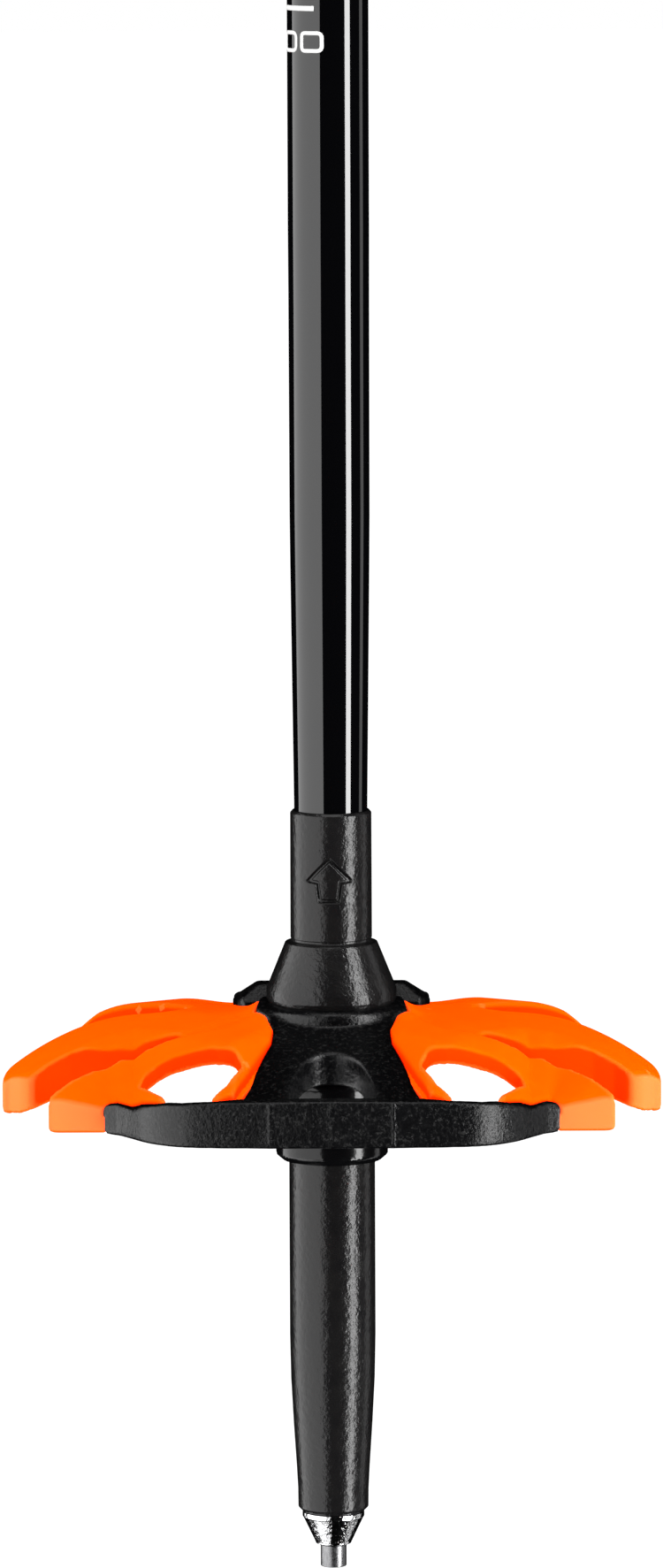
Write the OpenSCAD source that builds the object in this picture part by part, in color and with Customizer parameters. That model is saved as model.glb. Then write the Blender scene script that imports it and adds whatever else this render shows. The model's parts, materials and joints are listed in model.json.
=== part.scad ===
// Two-section adjustable ski-touring pole.
// Origin: centre of the carbide point's end. +Z runs up the pole, the front is -Y.

/* [Lengths] */
// Length of the pole as modelled, carbide end to grip top
pole_l = 1100; // [1000:10:1250]
// Height of the lower tube's top end
lower_top = 721; // [700:1:760]

/* [Tubes] */
// Outer diameter of the lower tube
lower_d = 12; // [11.8:0.1:12.2]
// Outer diameter of the lower tube where it enters the tip
swage_d = 10.9; // [10.7:0.05:11]
// Outer diameter of the upper tube
upper_d = 14; // [14:0.1:14.2]
// Wall thickness of both tubes
wall = 0.7; // [0.5:0.05:0.7]
// Radial clearance of a running fit
fit = 0.05; // [0.02:0.01:0.08]

/* [Tip] */
// Diameter of the carbide point
point_d = 3.9; // [3.6:0.1:4.2]
// Height of the ferrule's upper edge
ferrule_top = 8.4; // [8:0.1:9]
// Diameter of the flex section of the tip
flex_d = 12.83; // [12.5:0.01:13]
// Height of the cone's lower lip
cone_z = 86.45; // [86.2:0.05:87]
// Diameter of the cone's lower lip
cone_d = 19.4; // [18:0.1:20]
// Height of the sleeve's top edge
sleeve_top = 114.6; // [112:0.1:118]
// Outer diameter of the sleeve
sleeve_d = 12.1; // [12:0.05:12.4]

/* [Basket] */
// Outer radius of the basket over the petals
basket_r = 49.2; // [47:0.1:52]
// Height of the basket's lower edge
rim_z = 69.5; // [68:0.1:70]
// Height of the dome at the hub
crown_z = 84.3; // [83:0.1:84.5]
// How far the dome falls from hub to rim
dome_drop = 9.8; // [8:0.1:11]
// Thickness of the basket's skin
skin = 2.2; // [1.6:0.1:2.6]
// Radius of the hub's lower ring
hub_r = 8.55; // [8.3:0.05:8.8]

/* [Clamp] */
// Height of the clamp collar's lower edge
clamp_z = 333.5; // [300:0.5:400]
// Height of the clamp collar
clamp_h = 38; // [34:1:44]
// Outer radius of the clamp collar
clamp_r = 9.4; // [9:0.1:9.6]
// Distance from the pole's axis to the clamp screw
screw_x = 11.5; // [11.5:0.1:12]

/* [Grip] */
// Length of the grip from its lower flange to its top
grip_l = 146; // [140:1:160]
// Length of the foam extension grip
foam_l = 165; // [120:5:200]
// Width of the strap's webbing
strap_w = 20; // [16:1:20]

/* [Hidden] */
$fn = 96;

lower_r = lower_d / 2;
upper_r = upper_d / 2;
bore_r = upper_r - wall;
swage_r = swage_d / 2;
flex_r = flex_d / 2;
point_r = point_d / 2;
point_l = 3.3;
point_shank_r = 1.7;
point_shank_z = 13;
socket_z = 78;
swage_z = 115.5;
shank_r = 3.25;
shank_z = 24;
bush_l = 14;
spigot_l = 20;

// Height of the hub's lower edge, and the thread rings that hold the basket
hub_z = 61.2;
thread_z = [68, 72, 76];
thread_r = 7.2;

// Half-widths of the basket's front web, as [forward, half-width]
web_edge = [[0, 11.6], [6, 9.4], [11, 8.6], [16.8, 9.2], [23, 10.7], [28, 12.3], [35.5, 14.7]];
// Outer outline of the front band, as [sideways, forward]
band_edge = [[0, 36.7], [8, 36.3], [17.2, 35], [23.4, 33.3], [27.4, 30.3], [29.3, 26.6],
    [33.7, 22.3]];
band_t = 3.4;
// Radius of the basket's outline against the angle from the front
outline = [[0, 36.7], [26, 39], [40, 41], [49, 40], [57, 40.4], [62, 47.6], [68, 49.2], [180, 49.2]];

// Upper section
collar_bore = lower_r + fit;
socket_face = clamp_z + 24;
lug_z0 = clamp_z + 6;
lug_h = 21;
clamp_mid = lug_z0 + lug_h / 2;
lug_y = 5;
plate_t = 1;
cam_r = 3.75;
pin_r = 2.5;
pin_y = lug_y + plate_t + fit + cam_r;
screw_r = 2;
lever_r = clamp_r + 0.9;
lever_t = 2.8;

grip_z = pole_l - grip_l;
foam_z = grip_z - foam_l;
core_r = 9;
cap_z = pole_l - 34;
strap_pin_r = 2;
strap_pin_y = 11.5;
strap_pin_z = pole_l - 17;
web_t = 2;
slot_x = strap_w / 2 + 0.5;
wedge_x = 8;
wedge_y0 = -5;
wedge_y1 = 4;
wedge_l = 20;
leg_y = 14;
loop_r = 22;
loop_y = 45;
loop_z = strap_pin_z - 150;

// Radius of the basket's outline at an angle from the front
function edge_r(a) = lookup(abs(a), outline);
// Height of the dome at a distance from the axis
function dome_z(r) = crown_z - dome_drop * pow(max(0, r - 10) / (basket_r - 10), 2.5);
// Height of the wing's upper surface: the dome, bevelled down to its edge at the front
function wing_z(a, t) = min(dome_z(edge_r(a) * t), dome_z(basket_r) + 1.3 * edge_r(a) * (1 - t));
// A point at an angle from the front, at a share of the outline's radius
function at(a, t = 1) = edge_r(a) * t * [sin(a), cos(a)];

module ring(r, inner, z0, z1) {
    translate([0, 0, z0]) difference() {
        cylinder(r = r, h = z1 - z0);
        translate([0, 0, -1]) cylinder(r = inner, h = z1 - z0 + 2);
    }
}

// Turns a list of [sideways, forward] points into a prism
module plan(points, z0 = 55, z1 = 95) {
    translate([0, 0, z0]) linear_extrude(z1 - z0) mirror([0, 1, 0]) polygon(points);
}

// ---- tip ----

// A plain pin with a dished end, on a thinner shank that the ferrule holds
module carbide_tip() {
    color([0.45, 0.45, 0.46]) difference() {
        union() {
            cylinder(r = point_r, h = point_l);
            cylinder(r = point_shank_r, h = point_shank_z);
        }
        translate([0, 0, -0.01]) cylinder(r1 = point_r - 0.7, r2 = 0.2, h = 0.7);
    }
}

module tip_ferrule() {
    color([0.8, 0.8, 0.8]) rotate_extrude() polygon([
        [point_shank_r, 3.5], [2.65, 3.5], [2.75, 3.8], [4.5, 7.5], [4.65, 7.7],
        [4.65, ferrule_top], [shank_r, ferrule_top], [shank_r, shank_z], [0, shank_z],
        [0, point_shank_z], [point_shank_r, point_shank_z]]);
}

module tip_body() {
    color([0.12, 0.12, 0.12]) rotate_extrude() polygon(concat(
        [[shank_r, ferrule_top], [4.5, ferrule_top], [5.27, 9.16], [5.3, 11.9], [5.48, 15.3],
         [5.915, 22], [6.275, 28.75], [flex_r, 35.5], [flex_r, hub_z - 0.6], [6, hub_z - 0.4],
         [6, hub_z], [flex_r, hub_z + 0.4]],
        [for (z = thread_z) each
            [[flex_r, z - 1.2], [thread_r, z - 0.5], [thread_r, z + 0.5], [flex_r, z + 1.2]]],
        [[flex_r, cone_z], [cone_d / 2, cone_z], [cone_d / 2, cone_z + 1.35], [6.87, 94.8],
         [6.35, 94.9], [6.0, 95.1], [6.0, 95.4], [6.08, 95.5], [sleeve_d / 2, sleeve_top - 0.4],
         [sleeve_d / 2 - 0.35, sleeve_top], [swage_r, sleeve_top], [swage_r, socket_z],
         [0, socket_z], [0, shank_z], [shank_r, shank_z]]));
}

module lower_plug() {
    color([0.3, 0.3, 0.3]) translate([0, 0, socket_z + 4]) cylinder(r = swage_r - wall, h = 12);
}

module lower_tube() {
    outer = [[swage_r, socket_z], [swage_r, swage_z], [5.61, 129], [5.76, 142], [5.87, 152],
        [5.93, 158.6], [5.965, 191], [lower_r, 201], [lower_r, lower_top]];
    color([0.05, 0.05, 0.05]) rotate_extrude()
        polygon(concat(outer, [for (i = [len(outer) - 1:-1:0]) outer[i] - [wall, 0]]));
}

module guide_bush() {
    color([0.8, 0.8, 0.75]) difference() {
        union() {
            translate([0, 0, lower_top]) cylinder(r = bore_r - fit, h = bush_l);
            translate([0, 0, lower_top - spigot_l]) cylinder(r = lower_r - wall, h = spigot_l);
        }
        translate([0, 0, lower_top - spigot_l - 1]) cylinder(r = 3, h = spigot_l + bush_l + 2);
    }
}

// ---- basket ----

// Hub: a sleeve over the flex section with grooves for the thread rings
module hub() {
    run = flex_r + 0.1;
    rotate_extrude() polygon(concat(
        [[run, hub_z], [8.38, hub_z], [hub_r, hub_z + 0.5], [hub_r, 74], [7.6, 75], [7.6, 80.5],
         [10, 83.4], [10.6, 84.6], [9.9, 85.7], [run, 85.7]],
        [for (i = [len(thread_z) - 1:-1:0]) let (z = thread_z[i]) each
            [[run, z + 1.5], [thread_r + 0.1, z + 0.7], [thread_r + 0.1, z - 0.7], [run, z - 1.5]]]));
}

// Sloping front web, cut to its plan, with the arched window
module front_web() {
    half = [for (p = web_edge) [p[1], p[0]]];
    difference() {
        intersection() {
            plan(concat(half, [for (i = [len(half) - 1:-1:0]) [-half[i][0], half[i][1]]]));
            rotate([90, 0, 90]) translate([0, 0, -25]) linear_extrude(50) polygon([
                [0, 83.8], [-9, 83.6], [-20, 80.6], [-36, 76.3], [-36, 73.8], [-20, 77.6],
                [-9, 80.6], [0, 80.8]]);
        }
        plan([[-6.7, 40], [6.7, 40], [6.7, 23], [5.4, 19.6], [2.4, 18.1], [-2.4, 18.1],
              [-5.4, 19.6], [-6.7, 23]]);
        translate([0, 0, 55]) cylinder(r = 7.5, h = 40);
    }
}

// Front band: a wall along the outline, lower where it meets the petals
module front_band() {
    inner = [for (i = [len(band_edge) - 1:-1:0])
        band_edge[i] - band_t * band_edge[i] / norm(band_edge[i])];
    for (side = [0, 1]) mirror([side, 0, 0]) intersection() {
        plan(concat(band_edge, inner), rim_z, 80);
        rotate([90, 0, 0]) translate([0, 0, 10]) linear_extrude(40) polygon([
            [0, 60], [0, 76.3], [16, 76.2], [24, 75.9], [30, 74.4], [33.7, 73.9], [40, 73.5],
            [40, 60]]);
    }
}

// Rear web with the raised ridge that lifts a binding's lever
module rear_web() {
    intersection() {
        plan([[-11.6, 0], [-13.9, -17.5], [-11, -34], [-12.4, -basket_r + 2], [0, -basket_r],
              [12.4, -basket_r + 2], [11, -34], [13.9, -17.5], [11.6, 0]]);
        rotate([90, 0, 90]) translate([0, 0, -25]) linear_extrude(50) polygon([
            [0, 83.8], [9, 84.2], [11, 86.2], [16, 85.9], [20, 83.2], [30, 80.6], [40, 77.3],
            [48, 74.6], [49.2, 73.5], [49.2, rim_z], [46.8, rim_z], [46, 72], [38, 75.3],
            [28, 78.4], [14, 81], [0, 80.8]]);
        rotate([90, 0, 0]) translate([0, 0, -55]) linear_extrude(55) polygon([
            [-14.5, 60], [-14.5, 82.6], [-11.2, 86.4], [11.2, 86.4], [14.5, 82.6], [14.5, 60]]);
        difference() {
            translate([0, 0, 55]) cylinder(r = basket_r, h = 40);
            translate([0, 0, 54]) cylinder(r = 7.5, h = 42);
            translate([0, 0, 85.7]) cylinder(r = 10.9, h = 10);
        }
    }
}

module basket_core() {
    color([0.1, 0.1, 0.1]) difference() {
        union() {
            hub();
            front_web();
            front_band();
            rear_web();
        }
        // key slot in the front of the hub's lower ring
        translate([-1.9, -hub_r - 1, 60]) cube([3.8, 1.9, 5]);
    }
}

// Angles and shares of the radius at which the wing's skin is worked out
wing_a = concat([for (a = [12:6:48]) a], [52, 57, 59.5, 62, 65], [for (a = [68:6.0625:165]) a]);
wing_t = concat([for (i = [0:8]) 0.2 + 0.74 * i / 8], [0.955, 1]);

// Skin of the right wing: the dome above, and a copy below it that drops to form the rim
module wing_skin() {
    nt = len(wing_t) - 1;
    na = len(wing_a) - 1;
    top = [for (a = wing_a, t = wing_t) let (p = at(a, t)) [p[0], -p[1], wing_z(a, t)]];
    low = [for (a = wing_a, t = wing_t) let (p = at(a, t))
        [p[0], -p[1], t > 0.95 ? rim_z : wing_z(a, t) - skin]];
    n = len(top);
    function id(i, j) = i * (nt + 1) + j;
    function quad(a, b, c, d) = [[a, b, c], [a, c, d]];
    polyhedron(concat(top, low), concat(
        [for (i = [0:na - 1], j = [0:nt - 1]) each concat(
            quad(id(i, j), id(i, j + 1), id(i + 1, j + 1), id(i + 1, j)),
            quad(n + id(i, j), n + id(i + 1, j), n + id(i + 1, j + 1), n + id(i, j + 1)))],
        [for (i = [0:na - 1]) each concat(
            quad(id(i, 0), id(i + 1, 0), n + id(i + 1, 0), n + id(i, 0)),
            quad(id(i, nt), n + id(i, nt), n + id(i + 1, nt), id(i + 1, nt)))],
        [for (j = [0:nt - 1]) each concat(
            quad(id(0, j), n + id(0, j), n + id(0, j + 1), id(0, j + 1)),
            quad(id(na, j), id(na, j + 1), n + id(na, j + 1), n + id(na, j)))]), convexity = 6);
}

// Outlines cut out of the right wing, as [sideways, forward]
slot_1 = [[44.5, 25], [41.6, 21.8], [38, 18.8], [34.6, 16.6], [27, 14.8], [25.8, 13.6], [27, 12.4],
    [30.8, 11.3], [36.6, 9.9], [41.4, 10.6], [45.2, 12.4], [52, 13], [52, 25]];
slot_2 = [[42.5, -21.5], [33, -15], [24, -8.6], [21, -9.6], [21.5, -11.5], [31, -20.5], [39, -28.5],
    [45, -36], [52, -28]];
hole = [[28.4, 30], [27.4, 28], [24.6, 26], [21, 25.3], [16.8, 25.3], [14.2, 26], [13.4, 28.2],
    [14.6, 31], [17, 32.4], [23, 31.6]];
band_inner = [for (p = band_edge) p - band_t * p / norm(p)];
core_side = concat([[-20, 45]], [[-20, -52], [12.6, -52], [11, -34], [13.9, -17.5]],
    [for (p = web_edge) [p[1], p[0]]], [[14.7, 45]]);

module wing() {
    difference() {
        wing_skin();
        plan(slot_1);
        plan(slot_2);
        plan(hole);
        plan(core_side);
        plan(concat(band_inner, [[34.2, 30], [30, 45], [0, 45]]));
    }
}

module basket_wing_right() {
    color([1, 0.43, 0]) wing();
}

module basket_wing_left() {
    color([1, 0.43, 0]) mirror([1, 0, 0]) wing();
}

// ---- upper tube and clamp ----

module upper_tube() {
    color([0.05, 0.05, 0.05]) ring(upper_r, bore_r, socket_face, pole_l - 30);
}

module upper_plug() {
    color([0.3, 0.3, 0.3]) translate([0, 0, pole_l - 50]) cylinder(r = bore_r, h = 18);
}

module clamp_collar() {
    color([0.15, 0.15, 0.15]) difference() {
        union() {
            rotate_extrude() polygon([[0, clamp_z], [clamp_r - 1, clamp_z], [clamp_r, clamp_z + 1],
                [clamp_r, clamp_z + clamp_h - 3], [clamp_r - 1.4, clamp_z + clamp_h],
                [0, clamp_z + clamp_h]]);
            translate([6, -lug_y, lug_z0]) cube([screw_x - 1.5, 2 * lug_y, lug_h]);
        }
        translate([0, 0, clamp_z - 1]) cylinder(r = collar_bore, h = clamp_h + 2);
        translate([0, 0, socket_face]) cylinder(r = upper_r, h = clamp_h);
        translate([2, -0.6, clamp_z - 1]) cube([20, 1.2, lug_z0 + lug_h + 1 - clamp_z + 1]);
        translate([2, -0.6 - lug_y, lug_z0 + lug_h]) cube([20, 1.2 + 2 * lug_y, 1]);
        translate([screw_x, 0, clamp_mid]) rotate([90, 0, 0])
            cylinder(r = screw_r + 0.1, h = 30, center = true);
    }
}

module clamp_screw() {
    head_y = lug_y + 0.8;
    color([0.6, 0.6, 0.6]) translate([screw_x, 0, clamp_mid]) rotate([-90, 0, 0]) difference() {
        union() {
            translate([0, 0, -head_y - 3.8]) cylinder(r = 3.4, h = 3.8);
            translate([0, 0, -head_y]) cylinder(r = screw_r, h = head_y + pin_y + 1.2);
        }
        translate([0, 0, -head_y - 4]) cylinder(r = 1.73, h = 2.4, $fn = 6);
    }
}

module clamp_washer() {
    color([0.6, 0.6, 0.6]) translate([screw_x, -lug_y - 0.8, clamp_mid]) rotate([-90, 0, 0])
        difference() {
            cylinder(r = 3.45, h = 0.8);
            translate([0, 0, -1]) cylinder(r = screw_r + 0.1, h = 3);
        }
}

module lever_pin() {
    color([0.7, 0.7, 0.7]) difference() {
        translate([screw_x, pin_y, clamp_mid]) cylinder(r = pin_r, h = lug_h, center = true);
        translate([screw_x, pin_y, clamp_mid]) rotate([90, 0, 0])
            cylinder(r = screw_r, h = 10, center = true);
    }
}

module thrust_plate() {
    color([0.7, 0.7, 0.7]) difference() {
        translate([screw_x - 3.4, lug_y, lug_z0 + 0.5]) cube([7.2, plate_t, lug_h - 1]);
        translate([screw_x, 0, clamp_mid]) rotate([90, 0, 0])
            cylinder(r = screw_r + 0.1, h = 30, center = true);
    }
}

module clamp_lever() {
    gap = 7;
    out_r = lever_r + lever_t;
    color([1, 0.43, 0]) translate([0, 0, clamp_mid - lug_h / 2]) difference() {
        union() {
            translate([screw_x, pin_y, 0]) cylinder(r = cam_r, h = lug_h);
            linear_extrude(lug_h) polygon([[screw_x + 0.3, pin_y + cam_r], [1.5, out_r],
                [1.5, lever_r], [screw_x - 3.2, pin_y - 0.4]]);
            rotate([0, 0, 82]) rotate_extrude(angle = 120)
                translate([lever_r, 0]) square([lever_t, lug_h]);
            translate([0, 0, 5]) linear_extrude(lug_h - 10) polygon([[-10.6, -2.8], [-12.9, -1],
                [-14.6, -6.4], [-13.2, -7.4]]);
        }
        translate([screw_x, pin_y, -1]) cylinder(r = pin_r + fit, h = lug_h + 2);
        translate([screw_x, pin_y, (lug_h - gap) / 2]) cylinder(r = cam_r + 2, h = gap);
    }
}

// ---- grip ----

module extension_collar() {
    color([0.1, 0.1, 0.1]) translate([0, 0, foam_z - 9]) rotate_extrude() polygon([
        [upper_r, 0], [9, 0], [11.5, 3], [12.6, 9], [upper_r, 9]]);
}

module extension_grip() {
    color([0.15, 0.15, 0.15]) rotate_extrude() polygon(concat(
        [[upper_r, foam_z], [12.2, foam_z]],
        [for (i = [0:12]) let (s = i / 12)
            [12.6 + 1.3 * s + 0.5 * sin(180 * s), foam_z + 1 + (foam_l - 2) * s]],
        [[13.4, foam_z + foam_l], [upper_r, foam_z + foam_l]]));
}

module grip_core() {
    color([0.2, 0.2, 0.2]) ring(core_r, upper_r, grip_z + 2, cap_z);
}

// Side outline of the grip, as [radius, height above the flange]
grip_side = [[15.4, 0], [17.2, 2], [17.6, 6], [15.2, 12], [14.3, 20], [14.9, 30], [15.6, 38],
    [14.7, 46], [14.5, 52], [15.4, 62], [15.7, 70], [14.9, 80], [14.8, 88], [15.8, 100], [16.6, 112]];

module grip_rubber() {
    color([0.13, 0.13, 0.13]) rotate_extrude() polygon(concat(
        [for (p = grip_side) [p[0], grip_z + p[1]]],
        [[core_r, cap_z], [core_r, grip_z + 2], [upper_r, grip_z + 2], [upper_r, grip_z]]));
}

module grip_cap() {
    dome = 17.5;
    color([0.1, 0.1, 0.1]) difference() {
        rotate_extrude() polygon(concat(
            [[0, pole_l - 30], [0, pole_l]],
            [for (a = [0:15:90]) [4 + (dome - 4) * sin(a), pole_l - 12 + 12 * cos(a)]],
            [[dome, cap_z + 4], [16.6, cap_z], [upper_r, cap_z], [upper_r, pole_l - 30]]));
        translate([-slot_x, strap_pin_y - 5.5, cap_z + 6]) cube([2 * slot_x, 30, 40]);
        translate([-wedge_x - 0.2, wedge_y0 - 0.2, pole_l - wedge_l])
            cube([2 * wedge_x + 0.4, wedge_y1 - wedge_y0 + 0.4, 40]);
        translate([0, strap_pin_y, strap_pin_z]) rotate([0, 90, 0])
            cylinder(r = strap_pin_r, h = 60, center = true);
    }
}

module strap_pin() {
    color([0.7, 0.7, 0.7]) intersection() {
        translate([0, strap_pin_y, strap_pin_z]) rotate([0, 90, 0])
            cylinder(r = strap_pin_r, h = 27, center = true);
        translate([0, 0, strap_pin_z - 10]) cylinder(r = 17.4, h = 20);
    }
}

module strap_wedge() {
    color([1, 0.43, 0]) translate([-wedge_x, wedge_y0, pole_l - wedge_l]) difference() {
        cube([2 * wedge_x, wedge_y1 - wedge_y0, wedge_l]);
        translate([-1, wedge_y1 - wedge_y0 - 1.2, 14]) cube([2 * wedge_x + 2, 3, 3]);
    }
}

// Side view of the hanging loop: two legs from the pin to a round lower end
module loop_side(inset) {
    r = loop_r - inset;
    top_z = strap_pin_z - 6;
    polygon(concat([[leg_y + 2.6 * inset, top_z - 2.2 * inset],
        [leg_y + 5 + inset, top_z - 7 - inset], [loop_y - r, strap_pin_z - 45]],
        [for (a = [180:10:360]) [loop_y + r * cos(a), loop_z + r * sin(a)]],
        [[loop_y + r * 0.92, loop_z + 50], [loop_y + r * 0.35, strap_pin_z - 50],
         [leg_y + 8 + 0.9 * inset, top_z - 3 * inset]]));
}

module strap_webbing() {
    color([0.12, 0.12, 0.12]) rotate([90, 0, 90]) translate([0, 0, -strap_w / 2])
        linear_extrude(strap_w) difference() {
            union() {
                loop_side(0);
                translate([strap_pin_y, strap_pin_z]) circle(r = strap_pin_r + fit + web_t);
                polygon([[strap_pin_y - 3, strap_pin_z - 2], [strap_pin_y, strap_pin_z - 8],
                    [leg_y + 8, strap_pin_z - 6], [strap_pin_y + 3.5, strap_pin_z + 1]]);
            }
            loop_side(web_t);
            translate([strap_pin_y, strap_pin_z]) circle(r = strap_pin_r + fit);
        }
}

module strap_pad() {
    pad_t = 3;
    color([0.3, 0.3, 0.3]) rotate([90, 0, 90]) translate([0, 0, -strap_w / 2 - 3])
        linear_extrude(strap_w + 6) intersection() {
            difference() {
                loop_side(web_t);
                loop_side(web_t + pad_t);
            }
            translate([loop_y - loop_r - 5, loop_z - loop_r - 5])
                square([2 * loop_r + 10, loop_r + 65]);
        }
}

carbide_tip();
tip_ferrule();
tip_body();
lower_plug();
lower_tube();
guide_bush();
basket_core();
basket_wing_left();
basket_wing_right();
upper_tube();
upper_plug();
clamp_collar();
clamp_screw();
clamp_washer();
lever_pin();
thrust_plate();
clamp_lever();
extension_collar();
extension_grip();
grip_core();
grip_rubber();
grip_cap();
strap_pin();
strap_wedge();
strap_webbing();
strap_pad();
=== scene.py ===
"""Looks for the ski pole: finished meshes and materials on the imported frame, with a studio round them.

Shapes are worked out in millimetres in the frame's axes and scaled to metres when a mesh is made.
Plan views use (x, f), where f runs towards the front of the pole, which is -Y.
"""
import json
import math

import bpy
import numpy as np
from mathutils import Matrix, Vector

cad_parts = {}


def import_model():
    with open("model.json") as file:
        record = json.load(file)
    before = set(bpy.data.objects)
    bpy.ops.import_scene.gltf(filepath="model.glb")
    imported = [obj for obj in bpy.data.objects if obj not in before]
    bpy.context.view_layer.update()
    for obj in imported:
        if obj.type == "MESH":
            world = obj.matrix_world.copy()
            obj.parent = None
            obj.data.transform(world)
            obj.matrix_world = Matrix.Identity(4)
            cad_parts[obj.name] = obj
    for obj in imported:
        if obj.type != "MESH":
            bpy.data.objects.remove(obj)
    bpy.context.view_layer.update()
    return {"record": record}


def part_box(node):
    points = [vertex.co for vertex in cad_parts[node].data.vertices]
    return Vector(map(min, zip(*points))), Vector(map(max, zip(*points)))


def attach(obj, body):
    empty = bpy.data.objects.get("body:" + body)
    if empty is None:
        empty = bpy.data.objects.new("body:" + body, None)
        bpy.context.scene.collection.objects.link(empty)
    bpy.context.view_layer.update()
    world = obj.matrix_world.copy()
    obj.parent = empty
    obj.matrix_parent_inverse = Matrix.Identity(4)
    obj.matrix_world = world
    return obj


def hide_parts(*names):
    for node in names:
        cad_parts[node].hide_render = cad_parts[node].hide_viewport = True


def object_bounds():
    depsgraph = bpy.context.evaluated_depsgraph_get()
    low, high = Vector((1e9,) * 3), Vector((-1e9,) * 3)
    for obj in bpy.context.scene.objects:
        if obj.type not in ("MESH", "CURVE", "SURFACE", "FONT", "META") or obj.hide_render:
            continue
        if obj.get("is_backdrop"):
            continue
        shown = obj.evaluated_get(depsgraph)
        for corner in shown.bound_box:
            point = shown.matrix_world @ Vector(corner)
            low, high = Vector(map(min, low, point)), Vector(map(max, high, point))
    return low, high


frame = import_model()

MM = 0.001


# ---------------------------------------------------------------- frame helpers

def box(node):
    """Lowest and highest corner of a node, in millimetres."""
    lo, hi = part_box(node)
    return np.array(lo) / MM, np.array(hi) / MM


def profile(node):
    """Outer outline of a turned node, as (radius, height) from bottom to top."""
    mesh = bpy.data.objects[node].data
    found = {}
    for face in mesh.polygons:
        outward = face.normal.x * face.center.x + face.normal.y * face.center.y
        if outward < 0.1 * math.hypot(*face.center[:2]):
            continue
        for i in face.vertices:
            x, y, z = mesh.vertices[i].co / MM
            found.setdefault(round(z, 2), []).append(math.hypot(x, y))
    return [(r, z) for z in sorted(found) for r in sorted({round(max(found[z]), 3)})]


def bore(node):
    """Radius of the hole through a turned node."""
    return min(math.hypot(v.co.x, v.co.y) for v in bpy.data.objects[node].data.vertices) / MM


# ---------------------------------------------------------------- mesh helpers

def new_piece(name, verts, faces, material, body, replaces=()):
    """Makes a smooth-shaded piece from points in millimetres, and gives it its body and material."""
    mesh = bpy.data.meshes.new(name)
    mesh.from_pydata((np.asarray(verts, float) * MM).tolist(), [], [list(map(int, f)) for f in faces])
    mesh.validate()
    mesh.polygons.foreach_set("use_smooth", [True] * len(mesh.polygons))
    mesh.materials.append(material)
    piece = bpy.data.objects.new(name, mesh)
    bpy.context.scene.collection.objects.link(piece)
    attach(piece, body)
    if replaces:
        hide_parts(*replaces)
    return piece


def fillet(points, radius, steps=4):
    """Rounds the corners of an open line of points. radius is one number, or one per point."""
    pts = [np.array(p, float) for p in points]
    radii = np.broadcast_to(radius, len(pts))
    out = [pts[0]]
    for before, at, after, r in zip(pts, pts[1:], pts[2:], radii[1:]):
        a, b = before - at, after - at
        la, lb = np.linalg.norm(a), np.linalg.norm(b)
        turn = math.acos(np.clip(a @ b / (la * lb), -1, 1))
        if r <= 0 or turn > math.radians(178):
            out.append(at)
            continue
        reach = min(r / math.tan(turn / 2), la * 0.45, lb * 0.45)
        start, end = at + a / la * reach, at + b / lb * reach
        for t in np.linspace(0, 1, steps + 1):
            out.append((1 - t) ** 2 * start + 2 * t * (1 - t) * at + t * t * end)
    out.append(pts[-1])
    return out


def lathe(rows, angles, dent=None, hollow=False):
    """Verts and faces of a turned solid. rows are (radius, height) from one end to the other; dent is a
    function of angle from the front and height that gives how deep the surface is cut there. A hollow
    solid has its first and last rows joined by a bore instead of closed at the axis."""
    rows = np.array(rows, float)
    a = np.asarray(angles)
    n, m = len(rows), len(a)
    r = np.repeat(rows[:, :1], m, axis=1)
    z = np.repeat(rows[:, 1:], m, axis=1)
    if dent is not None:
        r = r - dent(np.broadcast_to(a, r.shape), z)
    verts = np.stack([r * np.sin(a), -r * np.cos(a), z], axis=2).reshape(-1, 3)
    i, j = np.meshgrid(np.arange(n - 1), np.arange(m), indexing="ij")
    k = (j + 1) % m
    quads = np.stack([i * m + j, i * m + k, (i + 1) * m + k, (i + 1) * m + j], axis=2).reshape(-1, 4)
    faces = quads.tolist()
    if hollow:
        last = (n - 1) * m
        faces += [[last + q, last + (q + 1) % m, (q + 1) % m, q] for q in range(m)]
        return verts, faces
    ends = [[0, 0, rows[0, 1]], [0, 0, rows[-1, 1]]]
    low, high = n * m, n * m + 1
    faces += [[low, (q + 1) % m, q] for q in range(m)]
    faces += [[high, (n - 1) * m + q, (n - 1) * m + (q + 1) % m] for q in range(m)]
    return np.vstack([verts, ends]), faces


def turn(count):
    """Evenly spaced angles for one full turn."""
    return np.arange(count) * (2 * math.pi / count)


# ---------------------------------------------------------------- signed-distance modelling

def smax(a, b, k):
    """The greater of two fields, with their corner rounded over k."""
    h = np.clip(0.5 + 0.5 * (a - b) / k, 0, 1)
    return b + (a - b) * h + k * h * (1 - h)


def smin(a, b, k):
    """The lesser of two fields, with their corner rounded over k."""
    return -smax(-a, -b, k)


def ramp(a, b, x):
    """Smooth step from 0 where x is a to 1 where x is b."""
    t = np.clip((x - a) / (b - a), 0, 1)
    return t * t * (3 - 2 * t)


def inside(px, py, points):
    """Signed distance to a closed polygon, negative inside."""
    px, py = np.broadcast_arrays(px, py)
    pts = np.array(points, float)
    best = np.full(px.shape, 1e9)
    sign = np.ones(px.shape)
    for (ax, ay), (bx, by) in zip(pts, np.roll(pts, -1, axis=0)):
        ex, ey = bx - ax, by - ay
        wx, wy = px - ax, py - ay
        t = np.clip((wx * ex + wy * ey) / (ex * ex + ey * ey), 0, 1)
        best = np.minimum(best, (wx - ex * t) ** 2 + (wy - ey * t) ** 2)
        up, down = py >= ay, py < by
        left = ex * wy > ey * wx
        flip = (up & down & left) | (~up & ~down & ~left)
        sign = np.where(flip, -sign, sign)
    return sign * np.sqrt(best)


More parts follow.
